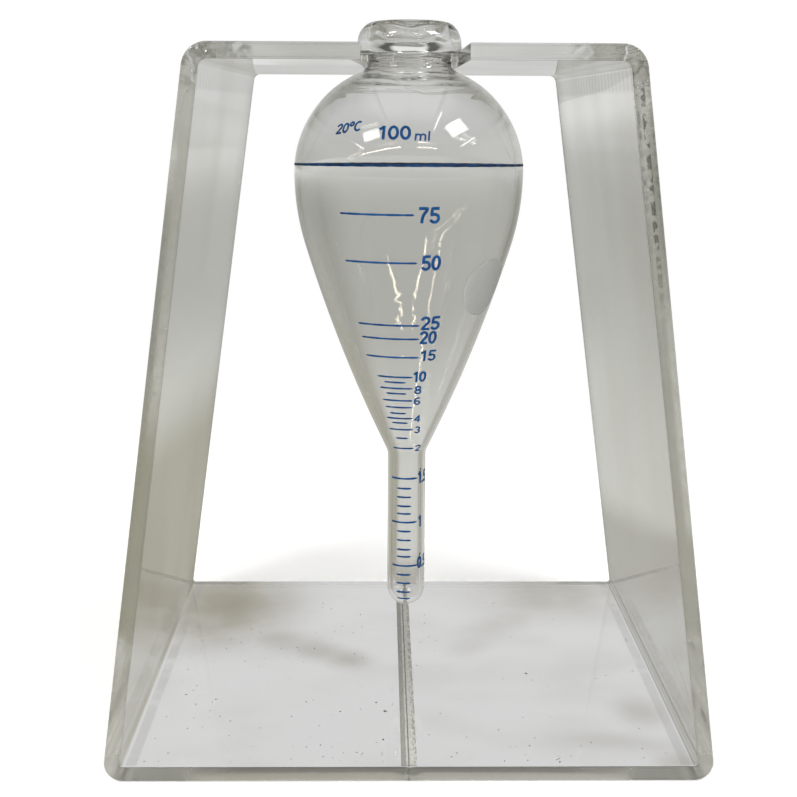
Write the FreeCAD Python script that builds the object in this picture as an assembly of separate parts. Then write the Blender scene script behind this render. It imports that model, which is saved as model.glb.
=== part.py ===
import FreeCAD, Part
import math
import os

# Driving sizes in millimetres

# clear sheet stand
standHeight = 166.0
baseWidth = 142.0
topWidth = 95.0
standDepth = 110.0
sheetThick = 3.5
topBendInner = 2.0
baseBendInner = 0.8
edgeBreak = 0.3
shortEdge = 14.0

# front-open slot in the top plate
slotWidth = 22.6

# cemented joint across the base
jointGap = 0.6
grooveDepth = 1.1
cementSink = 0.45

# glass tube
wall = 1.35
chordGap = 0.2
neckOuter = 20.8
bulbOuter = 58.1
bellyDrop = 29.4
shoulderRadius = 27.0
neckFillet = 2.6
bellyRadius = 63.5
bellySweep = 16.9
flankRadius = 388.0
stemOuter = 10.0
stemFillet = 4.5
tubeTipHeight = 20.1

# rolled bead at the mouth
rimHeight = 7.9
rimOuter = 26.3
rimCrown = 5.0
rimFoot = 1.2
mouthBore = 14.4
mouthEase = 0.9
mouthLength = 5.5

# how far a cutter runs past what it cuts, and what counts as nothing
cutSpare = 1.0
tiny = 1e-6


class Outline:
    """Chain of straight runs and arcs in the x-z plane."""

    def __init__(self, x, z):
        self.start = (x, z)
        self.here = (x, z)
        self.edges = []

    def vec(self, p):
        return FreeCAD.Vector(p[0], 0, p[1])

    def line(self, x, z):
        if math.hypot(x - self.here[0], z - self.here[1]) > tiny:
            self.edges.append(Part.makeLine(self.vec(self.here), self.vec((x, z))))
            self.here = (x, z)

    def arc(self, centre, radius, a0, a1):
        p = [
            (centre[0] + radius * math.cos(a), centre[1] + radius * math.sin(a))
            for a in (a0, (a0 + a1) / 2, a1)
        ]
        self.line(*p[0])
        bend = Part.Arc(self.vec(self.here), self.vec(p[1]), self.vec(p[2]))
        self.edges.append(bend.toShape())
        self.here = p[2]

    def chords(self, centre, radius, a0, a1, count):
        for i in range(count + 1):
            a = a0 + (a1 - a0) * i / count
            self.line(centre[0] + radius * math.cos(a), centre[1] + radius * math.sin(a))

    def face(self):
        self.line(*self.start)
        return Part.Face(Part.Wire(self.edges))


# Sheet bent into a closed loop, seen from the front
def bentLoop():
    lean = math.atan2((baseWidth - topWidth) / 2, standHeight)
    reach = baseWidth / 2 * math.cos(lean)
    topOuter = topBendInner + sheetThick
    baseOuter = baseBendInner + sheetThick

    def bendCentre(radius, z):
        x = (reach - radius - z * math.sin(lean)) / math.cos(lean)
        return x, z

    top = bendCentre(topOuter, standHeight - topOuter)
    base = bendCentre(baseOuter, baseOuter)
    topLeft = (-top[0], top[1])
    baseLeft = (-base[0], base[1])
    down = -math.pi / 2
    up = math.pi / 2
    half = jointGap / 2
    lip = half + grooveDepth

    loop = Outline(half, 0)
    loop.arc(base, baseOuter, down, lean)
    loop.arc(top, topOuter, lean, up)
    loop.arc(topLeft, topOuter, up, math.pi - lean)
    loop.arc(baseLeft, baseOuter, math.pi - lean, math.pi + up)
    loop.line(-half, 0)
    loop.line(-half, sheetThick - grooveDepth)
    loop.line(-lip, sheetThick)
    loop.arc(baseLeft, baseBendInner, math.pi + up, math.pi - lean)
    loop.arc(topLeft, topBendInner, math.pi - lean, up)
    loop.arc(top, topBendInner, up, lean)
    loop.arc(base, baseBendInner, lean, down)
    loop.line(lip, sheetThick)
    loop.line(half, sheetThick - grooveDepth)
    face = loop.face()
    face.translate(FreeCAD.Vector(0, -standDepth / 2, 0))
    return face.extrude(FreeCAD.Vector(0, standDepth, 0))


def slotCutter():
    zLow = standHeight - sheetThick - cutSpare
    tall = sheetThick + 2 * cutSpare
    corner = FreeCAD.Vector(-slotWidth / 2, -standDepth / 2 - cutSpare, zLow)
    run = Part.makeBox(slotWidth, standDepth / 2 + cutSpare, tall, corner)
    end = Part.makeCylinder(slotWidth / 2, tall, FreeCAD.Vector(0, 0, zLow))
    return run.fuse(end)


def onCutFace(edge):
    box = edge.BoundBox
    return box.YLength < tiny and abs(abs(box.YMin) - standDepth / 2) < tiny


def stand():
    body = bentLoop().cut(slotCutter()).removeSplitter()
    if body.ShapeType == "Compound":
        body = body.Solids[0]
    rims = [e for e in body.Edges if onCutFace(e) and e.Length > shortEdge]
    return body.makeChamfer(edgeBreak, rims)


# Cement strip that fills the gap and most of the groove above it
def cement():
    half = jointGap / 2
    fill = half + grooveDepth - cementSink
    strip = Outline(-half, 0)
    strip.line(half, 0)
    strip.line(half, sheetThick - grooveDepth)
    strip.line(fill, sheetThick - cementSink)
    strip.line(-fill, sheetThick - cementSink)
    strip.line(-half, sheetThick - grooveDepth)
    face = strip.face()
    face.translate(FreeCAD.Vector(0, -standDepth / 2, 0))
    return face.extrude(FreeCAD.Vector(0, standDepth, 0))


# How many straight runs keep a wide sweep within chordGap of its arc
def runs(radius, sweep):
    return math.ceil(abs(sweep) / (2 * math.acos(1 - chordGap / radius)))


# Blown tube: bead, neck, pear bulb, long cone and narrow stem with a round end
def tube():
    neck = neckOuter / 2
    bulb = bulbOuter / 2
    stem = stemOuter / 2
    bead = rimOuter / 2
    mouth = mouthBore / 2
    topZ = standHeight + rimHeight
    bellyZ = standHeight - bellyDrop
    sweep = math.radians(bellySweep)

    shoulder = (bulb - shoulderRadius, bellyZ)
    rise = math.sqrt((shoulderRadius + neckFillet) ** 2 - (neck + neckFillet - shoulder[0]) ** 2)
    collar = (neck + neckFillet, bellyZ + rise)
    turn = math.atan2(rise, collar[0] - shoulder[0])

    belly = (bulb - bellyRadius, bellyZ)
    flank = (
        belly[0] + (bellyRadius - flankRadius) * math.cos(sweep),
        belly[1] - (bellyRadius - flankRadius) * math.sin(sweep),
    )
    spread = (stem + stemFillet - flank[0]) / (flankRadius + stemFillet)
    steep = math.acos(spread)
    foot = (stem + stemFillet, flank[1] - (flankRadius + stemFillet) * math.sin(steep))
    tip = (0, tubeTipHeight + stem)

    shoulderRuns = runs(shoulderRadius, turn)
    bellyRuns = runs(bellyRadius, sweep)
    flankRuns = runs(flankRadius, steep - sweep)
    collarRuns = runs(neckFillet + wall, turn)

    down = -math.pi / 2
    up = math.pi / 2
    wallLine = Outline(0, tubeTipHeight)
    wallLine.arc(tip, stem, down, 0)
    wallLine.arc(foot, stemFillet, math.pi, math.pi - steep)
    wallLine.chords(flank, flankRadius, -steep, -sweep, flankRuns)
    wallLine.chords(belly, bellyRadius, -sweep, 0, bellyRuns)
    wallLine.chords(shoulder, shoulderRadius, 0, turn, shoulderRuns)
    wallLine.chords(collar, neckFillet, math.pi + turn, math.pi, collarRuns)

    # bead round the mouth
    crown = (bead - rimCrown, topZ - rimCrown)
    throat = neck - wall
    wallLine.line(neck, standHeight)
    wallLine.line(bead - rimFoot, standHeight)
    wallLine.line(bead, standHeight + rimFoot)
    wallLine.chords(crown, rimCrown, 0, up, runs(rimCrown, up))
    wallLine.line(mouth + mouthEase, topZ)
    wallLine.line(mouth, topZ - mouthEase)
    wallLine.line(mouth, topZ - mouthLength)
    wallLine.line(throat, standHeight)

    # inside surface, one wall thickness in
    wallLine.chords(collar, neckFillet + wall, math.pi, math.pi + turn, collarRuns)
    wallLine.chords(shoulder, shoulderRadius - wall, turn, 0, shoulderRuns)
    wallLine.chords(belly, bellyRadius - wall, 0, -sweep, bellyRuns)
    wallLine.chords(flank, flankRadius - wall, -sweep, -steep, flankRuns)
    wallLine.arc(foot, stemFillet + wall, math.pi - steep, math.pi)
    wallLine.arc(tip, stem - wall, 0, down)
    profile = wallLine.face()
    axis = FreeCAD.Vector(0, 0, 1)
    return profile.revolve(FreeCAD.Vector(0, 0, 0), axis, 360)


os.makedirs("parts", exist_ok=True)
acrylicStand = stand()
seamCement = cement()
glassTube = tube()
acrylicStand.exportStep("parts/acrylic_stand.step")
seamCement.exportStep("parts/seam_cement.step")
glassTube.exportStep("parts/glass_tube.step")
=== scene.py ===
import math

import bmesh
import bpy
import numpy as np
from mathutils import Matrix, Vector


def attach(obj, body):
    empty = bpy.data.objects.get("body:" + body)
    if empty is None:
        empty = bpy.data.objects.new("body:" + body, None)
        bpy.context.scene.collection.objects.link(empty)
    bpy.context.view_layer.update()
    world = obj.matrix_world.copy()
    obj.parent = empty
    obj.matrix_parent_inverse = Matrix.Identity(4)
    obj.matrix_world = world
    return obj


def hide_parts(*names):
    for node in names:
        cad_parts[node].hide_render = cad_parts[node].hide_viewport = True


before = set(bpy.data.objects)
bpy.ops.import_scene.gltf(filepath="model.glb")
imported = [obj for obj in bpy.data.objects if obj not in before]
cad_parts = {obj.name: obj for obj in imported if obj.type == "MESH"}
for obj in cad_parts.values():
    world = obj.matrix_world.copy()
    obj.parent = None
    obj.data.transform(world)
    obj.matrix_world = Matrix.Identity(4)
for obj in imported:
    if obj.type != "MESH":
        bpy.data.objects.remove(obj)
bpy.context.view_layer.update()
mm = 0.001
print("frame loaded:", sorted(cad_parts))


# sRGB hex to the linear colour that Blender's sockets take
def hexColour(text):
    parts = [int(text[i:i + 2], 16) / 255 for i in (1, 3, 5)]
    linear = [p / 12.92 if p <= 0.04045 else ((p + 0.055) / 1.055) ** 2.4 for p in parts]
    return (*linear, 1.0)


# adds one node, with its settings, socket values and incoming links
def addNode(tree, kind, values=None, links=None, **settings):
    node = tree.nodes.new(kind)
    for name, value in settings.items():
        setattr(node, name, value)
    for socket, value in (values or {}).items():
        node.inputs[socket].default_value = value
    for socket, source in (links or {}).items():
        tree.links.new(source, node.inputs[socket])
    return node


# a material with an empty node tree and its output
def newMaterial(name):
    material = bpy.data.materials.new(name)
    material.use_nodes = True
    material.node_tree.nodes.clear()
    return material, material.node_tree


# camera at the photograph's viewing angle
cameraView = {
    "place": (-6.87, -305.26, 152.27),  # mm
    "pitch": 10.95,  # degrees below level
    "turn": -0.80,
    "roll": 0.32,
    "lens": 53.64,
    "sensor": 36.0,
    "shift": (0.0013, -0.0734),
}


def makeCamera(view):
    pitch, turn, roll = (math.radians(view[k]) for k in ("pitch", "turn", "roll"))
    ahead = Vector((
        -math.sin(turn) * math.cos(pitch),
        math.cos(turn) * math.cos(pitch),
        -math.sin(pitch),
    ))
    level = Vector((math.cos(turn), math.sin(turn), 0))
    upright = level.cross(ahead)
    right = math.cos(roll) * level + math.sin(roll) * upright
    up = math.cos(roll) * upright - math.sin(roll) * level
    data = bpy.data.cameras.new("photo_camera")
    data.lens = view["lens"]
    data.sensor_width = view["sensor"]
    data.shift_x, data.shift_y = view["shift"]
    data.clip_start = 0.01
    camera = bpy.data.objects.new("photo_camera", data)
    turned = Matrix((right, up, -ahead)).transposed().to_4x4()
    camera.matrix_world = Matrix.Translation(Vector(view["place"]) * mm) @ turned
    scene.collection.objects.link(camera)
    scene.camera = camera


scene = bpy.context.scene
makeCamera(cameraView)
scene.view_settings.view_transform = "Standard"
scene.cycles.max_bounces = 18  # light runs far inside clear sheet before it leaves
scene.cycles.glossy_bounces = 14
scene.cycles.transmission_bounces = 16
print("camera placed")


# white backdrop and plain light; mirrored and refracted rays see a pale grey room, as the clear pieces do in the
# photograph
room = {
    "backdrop": "#FFFFFF",
    "lightLevel": 0.58,
    "wallLeft": "#C3C3C0",
    "wallRight": "#DADAD9",
    "farWindow": "#DFE0E0",
    "ceiling": "#5E5D57",
    "zenith": "#F4F4F2",
    "behindCamera": "#6C6D69",
    "benchUnder": "#E3E3E3",
    # bench tones seen through the clear pieces; left and right of the footprint they are darker as the stand's
    # painted contact shadow
    "benchShadowLeft": "#B0AEA1",
    "benchShadowRight": "#BAB9B3",
    "benchSides": "#A2A29D",
    "benchBehind": "#E0E0DC",
    "benchMiddle": "#BEBEBA",
    "farLeft": "#E6E6E4",
    "farMiddle": "#DADAD7",
    "farRight": "#CCCCCA",
    "boardTone": 0.8,
    "boardGlow": 0.36,  # lifts the board to near white and keeps the object's shadow on it
    "shadowEdge": (0.13, 0.34),  # m from the middle, where the shadow fades into plain white
    "footprint": (0.0665, 0.0555),  # m, half sizes of the bench under the stand
    "floorDrop": 0.0003,
    "floorSize": 9.0,
}


# blends two colours by a factor socket
def blend(tree, factor, first, second):
    values, links = {}, {0: factor}
    for socket, colour in ((6, first), (7, second)):
        if isinstance(colour, str):
            values[socket] = hexColour(colour)
        else:
            links[socket] = colour
    node = addNode(tree, "ShaderNodeMix", values, links, data_type="RGBA")
    return node.outputs[2]


# spreads a value between two limits to 0 and 1, eased at both ends
def ramp(tree, value, low, high):
    node = addNode(tree, "ShaderNodeMapRange", {"From Min": low, "From Max": high}, {"Value": value},
                   interpolation_type="SMOOTHSTEP")
    return node.outputs["Result"]


# one sum of up to three sockets or numbers
def maths(tree, operation, first, second=None, third=None):
    node = addNode(tree, "ShaderNodeMath", operation=operation)
    for socket, value in enumerate((first, second, third)):
        if isinstance(value, (int, float)):
            node.inputs[socket].default_value = value
        elif value is not None:
            tree.links.new(value, node.inputs[socket])
    return node.outputs[0]


def makeWorld(look):
    world = bpy.data.worlds.new("plain_studio")
    scene.world = world
    world.use_nodes = True
    tree = world.node_tree
    tree.nodes.clear()
    rays = addNode(tree, "ShaderNodeLightPath").outputs
    place = addNode(tree, "ShaderNodeTexCoord").outputs["Generated"]
    side = addNode(tree, "ShaderNodeSeparateXYZ", links={"Vector": place}).outputs
    walls = blend(tree, ramp(tree, side["X"], -0.5, 0.5), look["wallLeft"], look["wallRight"])
    ahead = maths(tree, "MULTIPLY", ramp(tree, maths(tree, "ABSOLUTE", side["X"]), 0.50, 0.05),
                  ramp(tree, side["Y"], 0.0, 0.5))
    low = maths(tree, "MULTIPLY", ramp(tree, side["Z"], -0.03, 0.05), ramp(tree, side["Z"], 0.30, 0.06))
    walls = blend(tree, maths(tree, "MULTIPLY", ahead, low), walls, look["farWindow"])
    walls = blend(tree, ramp(tree, side["Z"], 0.28, 0.6), walls, look["ceiling"])
    walls = blend(tree, ramp(tree, side["Z"], 0.78, 0.92), walls, look["zenith"])
    walls = blend(tree, ramp(tree, side["Y"], -0.15, -0.8), walls, look["behindCamera"])
    clearRay = maths(tree, "MAXIMUM", rays["Is Glossy Ray"], rays["Is Transmission Ray"])
    level = addNode(tree, "ShaderNodeMix", {6: (look["lightLevel"],) * 3 + (1.0,)}, {0: clearRay, 7: walls},
                    data_type="RGBA").outputs[2]
    whole = blend(tree, rays["Is Camera Ray"], level, look["backdrop"])
    glow = addNode(tree, "ShaderNodeBackground", {"Strength": 1.0}, {"Color": whole})
    addNode(tree, "ShaderNodeOutputWorld", links={"Surface": glow.outputs[0]})


# painted board: matt and white to the camera with the object's shadow, and a pale bench to clear pieces, with the
# stand's painted contact shadow just outside its footprint
def makeFloor(look):
    material, tree = newMaterial("matt_white_board")
    rays = addNode(tree, "ShaderNodeLightPath").outputs
    place = addNode(tree, "ShaderNodeTexCoord").outputs["Object"]
    side = addNode(tree, "ShaderNodeSeparateXYZ", links={"Vector": place}).outputs
    wide, deep = look["footprint"]
    across = maths(tree, "DIVIDE", maths(tree, "ABSOLUTE", side["X"]), wide)
    along = maths(tree, "DIVIDE", maths(tree, "ABSOLUTE", side["Y"]), deep)
    # painted contact shadow of the stand: the bench turns darker just outside its footprint
    beside = ramp(tree, maths(tree, "MAXIMUM", across, along), 1.0, 1.06)
    away = addNode(tree, "ShaderNodeVectorMath", links={0: place}, operation="LENGTH").outputs["Value"]
    sides = blend(tree, ramp(tree, side["X"], -0.05, 0.05), look["benchShadowLeft"], look["benchShadowRight"])
    sides = blend(tree, ramp(tree, away, 0.15, 0.6), sides, look["benchSides"])
    reach = maths(tree, "ADD", maths(tree, "MULTIPLY", side["Y"], 0.19), 0.012)
    drift = maths(tree, "MULTIPLY_ADD", side["Y"], -0.12, side["X"])
    lane = maths(tree, "DIVIDE", maths(tree, "ABSOLUTE", drift), reach)
    behind = maths(tree, "MULTIPLY", ramp(tree, side["Y"], 0.066, 0.095), ramp(tree, lane, 1.35, 0.75))
    middle = blend(tree, ramp(tree, away, 0.12, 0.6), look["benchBehind"], look["benchMiddle"])
    bench = blend(tree, behind, blend(tree, beside, look["benchUnder"], sides), middle)
    far = blend(tree, ramp(tree, side["X"], -0.2, -0.5), look["farMiddle"], look["farLeft"])
    far = blend(tree, ramp(tree, side["X"], 0.2, 0.5), far, look["farRight"])
    bench = blend(tree, ramp(tree, away, 1.1, 3.2), bench, far)
    through = addNode(tree, "ShaderNodeEmission", links={"Color": bench})
    matt = addNode(tree, "ShaderNodeBsdfDiffuse", {"Color": (look["boardTone"],) * 3 + (1.0,)})
    lift = addNode(tree, "ShaderNodeEmission", {"Strength": look["boardGlow"]})
    white = addNode(tree, "ShaderNodeAddShader", links={0: matt.outputs[0], 1: lift.outputs[0]})
    glow = addNode(tree, "ShaderNodeEmission", {"Color": hexColour(look["backdrop"]), "Strength": 1.0})
    toCamera = addNode(tree, "ShaderNodeMixShader", links={
        0: ramp(tree, away, *look["shadowEdge"]), 1: white.outputs[0], 2: glow.outputs[0]})
    light = addNode(tree, "ShaderNodeMixShader", links={
        0: rays["Is Camera Ray"], 1: matt.outputs[0], 2: toCamera.outputs[0]})
    clearRay = maths(tree, "MAXIMUM", rays["Is Glossy Ray"], rays["Is Transmission Ray"])
    whole = addNode(tree, "ShaderNodeMixShader", links={0: clearRay, 1: light.outputs[0], 2: through.outputs[0]})
    addNode(tree, "ShaderNodeOutputMaterial", links={"Surface": whole.outputs[0]})

    half = look["floorSize"] / 2
    drop = -look["floorDrop"]
    corners = [(-half, -half, drop), (half, -half, drop), (half, half, drop), (-half, half, drop)]
    mesh = bpy.data.meshes.new("floor")
    mesh.from_pydata(corners, [], [(0, 1, 2, 3)])
    mesh.materials.append(material)
    floor = bpy.data.objects.new("floor", mesh)
    scene.collection.objects.link(floor)


# the bulb's middle, which the windows are placed round, and the point that every lamp faces, in m
bulbHeight = 0.14
lampAim = Vector((0, 0, 0.11))


# a point seen from the bulb at an azimuth from the front and a height in degrees
def sight(azimuth, height, away=0.9):
    az, el = math.radians(azimuth), math.radians(height)
    level = away * math.cos(el)
    return level * math.sin(az), -level * math.cos(az), bulbHeight + away * math.sin(el)


# windows, ceiling tubes and their glints on the bench: two ends in m, width in m, brightness, and for the glints
# the spread in degrees
lamps = {
    "window_left": (sight(-54.3, 34.2), sight(-38.6, 42.8), 0.155, 15),
    "window_left_top": (sight(-63, 42.6), sight(-46, 51.4), 0.02, 14),
    "window_right": (sight(49.4, 41.6), sight(75.6, 43.8), 0.185, 15),
    "frame_low": (sight(53.5, 35.4), sight(74, 25.2), 0.016, 8),
    "frame_side": (sight(64, 37), sight(77.5, 27), 0.012, 7),
    "frame_end": (sight(71, 25.2), sight(79, 27.2), 0.02, 9),
    "frame_high": (sight(31, 46), sight(60, 61), 0.016, 10),
    "tube_left_a": ((-4.2, -2.06, 1.16), (-0.36, -2.06, 1.33), 0.018, 45),
    "tube_left_b": ((-5.6, -1.74, 1.14), (-0.5, -1.74, 1.365), 0.028, 32),
    "tube_right_a": ((0.28, -2.06, 1.33), (1.1, -2.06, 1.33), 0.018, 45),
    "tube_right_b": ((0.28, -1.74, 1.37), (0.84, -1.74, 1.37), 0.028, 32),
    "glint_left": ((-0.168, -0.089, 0.002), (-0.124, -0.074, 0.002), 0.012, 0.4, 60),
    "glint_right": ((0.107, -0.087, 0.002), (0.137, -0.108, 0.002), 0.014, 0.45, 60),
}
lampColours = {"tube": "#FFF4DC", "other": "#FFFFFF"}


# area lamp as long as the line between its two ends, facing the bulb
def makeLamp(name, start, end, width, level, spread=180):
    start, end = Vector(start), Vector(end)
    middle = (start + end) / 2
    reach = (end - start).normalized()
    back = middle - lampAim
    back = (back - back.dot(reach) * reach).normalized()
    data = bpy.data.lights.new(name, "AREA")
    data.shape = "RECTANGLE"
    data.size = (end - start).length
    data.size_y = width
    data.spread = math.radians(spread)
    data.energy = level * 4 * data.size * data.size_y
    data.color = hexColour(lampColours["tube" if name.startswith("tube") else "other"])[:3]
    lamp = bpy.data.objects.new(name, data)
    turned = Matrix((reach, back.cross(reach), back)).transposed().to_4x4()
    lamp.matrix_world = Matrix.Translation(middle) @ turned
    lamp.visible_camera = False
    scene.collection.objects.link(lamp)


makeWorld(room)
makeFloor(room)
for lampName, lampValues in lamps.items():
    makeLamp(lampName, *lampValues)
print("room and lamps ready")


# turns vertex and face arrays into a piece that rides with the object
def makePiece(name, points, faces, material):
    mesh = bpy.data.meshes.new(name)
    mesh.from_pydata(np.asarray(points, float).tolist(), [], faces)
    mesh.validate()
    mesh.polygons.foreach_set("use_smooth", [True] * len(mesh.polygons))
    mesh.materials.append(material)
    mesh.update()
    piece = bpy.data.objects.new(name, mesh)
    scene.collection.objects.link(piece)
    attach(piece, "root")
    return piece


# quads between neighbouring rows and columns of a grid of vertex numbers
def gridFaces(grid, wrap=False):
    after = np.roll(grid, -1, axis=1) if wrap else grid[:, 1:]
    here = grid if wrap else grid[:, :-1]
    quads = np.stack([here[:-1], after[:-1], after[1:], here[1:]], axis=-1)
    return quads.reshape(-1, 4).tolist()


# points along an arc: centre plus radius times cosine and sine
def arcPoints(centre, radius, a0, a1, count):
    a = np.linspace(a0, a1, count + 1)
    return np.column_stack([centre[0] + radius * np.cos(a), centre[1] + radius * np.sin(a)])


# points along a straight run, about one gap apart, without its first
def straight(a, b, gap):
    count = max(1, math.ceil(math.dist(a, b) / gap))
    return np.linspace(a, b, count + 1)[1:]


# blown glass tube, sizes in mm: the same arcs as the solid, drawn fine
tubeShape = {
    "wall": 1.35,
    "neck": 10.4,
    "bulb": 29.05,
    "bellyHeight": 136.6,
    "shoulder": 27.0,
    "collar": 2.6,
    "belly": 63.5,
    "bellySweep": 16.9,  # degrees
    "flank": 388.0,
    "stem": 5.0,
    "foot": 4.5,
    "tip": 20.1,
    "seat": 166.0,
    "rimTop": 173.9,
    "rim": 13.15,
    "crown": 5.0,
    "rimFoot": 1.2,
    "mouth": 7.2,
    "mouthEase": 0.9,
    "mouthLength": 5.5,
    "columns": 224,
    "rings": 0.14,  # depth of the draw rings round the neck
    "boreRings": 0.09,
    "ringPitch": 1.6,
    "fineRingPitch": 0.83,
    "borePitch": 1.15,
    "ringsFrom": 155.0,  # height where the rings begin
    "evenFrom": 161.0,  # height where they are as deep at the sides as in front
    "rimDents": 0.09,
}


# outline of the tube's wall as radius and height: its outside, its rim and its inside
def tubeOutline(s):
    belly = (s["bulb"] - s["belly"], s["bellyHeight"])
    shoulder = (s["bulb"] - s["shoulder"], s["bellyHeight"])
    reach = s["neck"] + s["collar"] - shoulder[0]
    rise = math.sqrt((s["shoulder"] + s["collar"]) ** 2 - reach ** 2)
    collar = (s["neck"] + s["collar"], s["bellyHeight"] + rise)
    turn = math.atan2(rise, reach)
    sweep = math.radians(s["bellySweep"])
    flank = (
        belly[0] + (s["belly"] - s["flank"]) * math.cos(sweep),
        belly[1] - (s["belly"] - s["flank"]) * math.sin(sweep),
    )
    steep = math.acos((s["stem"] + s["foot"] - flank[0]) / (s["flank"] + s["foot"]))
    foot = (s["stem"] + s["foot"], flank[1] - (s["flank"] + s["foot"]) * math.sin(steep))
    tip = (0, s["tip"] + s["stem"])
    half, full = math.pi / 2, math.pi

    # one side of the wall from the tip to the neck, set in by a thickness
    def side(inset):
        low = arcPoints(tip, s["stem"] - inset, -half, 0, 14)
        bend = arcPoints(foot, s["foot"] + inset, full, full - steep, 8)
        return np.vstack([
            low,
            straight(low[-1], bend[0], 2.5),
            bend[1:],
            arcPoints(flank, s["flank"] - inset, -steep, -sweep, 40)[1:],
            arcPoints(belly, s["belly"] - inset, -sweep, 0, 18)[1:],
            arcPoints(shoulder, s["shoulder"] - inset, 0, turn, 40)[1:],
            arcPoints(collar, s["collar"] + inset, full + turn, full, 14)[1:],
        ])

    outer, inner = side(0), side(s["wall"])[::-1]
    crown = (s["rim"] - s["crown"], s["rimTop"] - s["crown"])
    easeCentre = (s["mouth"] + s["mouthEase"], s["rimTop"] - s["mouthEase"])
    footCentre = (s["rim"] - s["rimFoot"], s["seat"] + s["rimFoot"])
    rounded = arcPoints(footCentre, s["rimFoot"], -half, 0, 8)
    lip = arcPoints(crown, s["crown"], 0, half, 20)
    ease = arcPoints(easeCentre, s["mouthEase"], half, full, 8)
    bore = (s["mouth"], s["rimTop"] - s["mouthLength"])
    throat = (s["neck"] - s["wall"], s["seat"])
    rim = np.vstack([
        straight(outer[-1], (s["neck"], s["seat"]), 0.25),
        straight((s["neck"], s["seat"]), rounded[0], 0.4),
        rounded[1:],
        straight(rounded[-1], lip[0], 0.3),
        lip[1:],
        straight(lip[-1], ease[0], 0.4),
        ease[1:],
        straight(ease[-1], bore, 0.3),
        straight(bore, throat, 0.3),
        straight(throat, inner[0], 0.25),
    ])
    return outer, rim, inner[1:]


tubeOuter, tubeRim, tubeInner = tubeOutline(tubeShape)
outerSlope = np.concatenate([[0], np.cumsum(np.hypot(*np.diff(tubeOuter, axis=0).T))])


# surface of revolution: each outline point turned about the axis, pushed in and out by soft draw rings at the neck
def makeTube(s, material):
    outline = np.vstack([tubeOuter, tubeRim, tubeInner])
    ring = outline[1:-1]
    turn = np.linspace(0, 2 * np.pi, s["columns"], endpoint=False)
    radius = np.repeat(ring[:, :1], s["columns"], axis=1)
    height = np.repeat(ring[:, 1:], s["columns"], axis=1)
    nearNeck = np.clip((s["seat"] - height) / 1.2, 0, 1) * np.clip((height - s["ringsFrom"]) / 5.0, 0, 1)
    nearNeck = nearNeck * np.where(height < s["evenFrom"], 0.3 + 0.7 * np.cos(turn) ** 2, 1)
    nearRim = np.clip((height - s["seat"]) / 1.5, 0, 1) * np.clip((s["rimTop"] - height) / 1.5, 0, 1)
    wander = 0.9 * np.sin(2 * turn + 0.6) + 0.6 * np.sin(3 * turn + 2.1) + 0.7 * np.sin(7 * turn + height)
    fine = np.sin(2 * np.pi * height / s["fineRingPitch"] + 1.7 * wander)
    wave = np.sin(2 * np.pi * height / s["ringPitch"] + wander) + 0.5 * fine
    lumps = np.sin(2 * turn + 0.9 + height * 0.5) + 0.7 * np.sin(5 * turn - height * 0.7)
    bore = nearRim * (radius < s["mouth"] + 0.2) * np.sin(2 * np.pi * height / s["borePitch"] + wander)
    radius = radius + s["rings"] * nearNeck * wave + s["boreRings"] * bore - s["rimDents"] * nearRim * (1.7 + lumps)
    points = np.stack([radius * np.sin(turn), -radius * np.cos(turn), height], axis=-1).reshape(-1, 3)
    count = len(points)
    ends = np.array([[0, 0, outline[0, 1]], [0, 0, outline[-1, 1]]])
    grid = np.arange(count).reshape(len(ring), s["columns"])
    faces = gridFaces(grid, wrap=True)
    following = np.roll(np.arange(s["columns"]), -1)
    faces += [[count, int(grid[0, b]), int(grid[0, a])] for a, b in enumerate(following)]
    faces += [[count + 1, int(grid[-1, a]), int(grid[-1, b])] for a, b in enumerate(following)]
    tube = makePiece("blown_tube", np.vstack([points, ends]) * mm, faces, material)
    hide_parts("glass_tube")


# hot-bent sheet, sizes in mm: the same loop as the solid, with round bends and broken edges
sheetShape = {
    "height": 166.0,
    "baseWidth": 142.0,
    "topWidth": 95.0,
    "depth": 110.0,
    "thick": 3.5,
    "topBend": 2.0,
    "baseBend": 0.8,
    "slot": 22.6,
    "grooveWide": 1.4,
    "grooveDeep": 0.2,
    "edgeBreak": 0.3,
    "buckledFrom": (40.0, 155.0),  # out from the middle and up, where the cut faces are buckled
    "sharpAngle": 35,  # degrees
}


# right half of the strip's outline at one depth in the sheet, from the middle of the top to the joint
def halfStrip(s, inset, end):
    lean = math.atan2((s["baseWidth"] - s["topWidth"]) / 2, s["height"])
    reach = s["baseWidth"] / 2 * math.cos(lean)
    top, base = s["topBend"] + s["thick"], s["baseBend"] + s["thick"]

    def bendCentre(radius, z):
        return (reach - radius - z * math.sin(lean)) / math.cos(lean), z

    topBend = arcPoints(bendCentre(top, s["height"] - top), top - inset, math.pi / 2, lean, 16)
    baseBend = arcPoints(bendCentre(base, base), base - inset, lean, -math.pi / 2, 16)
    plate = np.linspace((0, s["height"] - inset), topBend[0], 18)[:-1]
    side = np.linspace(topBend[-1], baseBend[0], 44)[1:-1]
    foot = np.linspace(baseBend[-1], (end, inset), 22)[1:]
    return np.vstack([plate, topBend, side, baseBend, foot]), len(plate)


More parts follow.
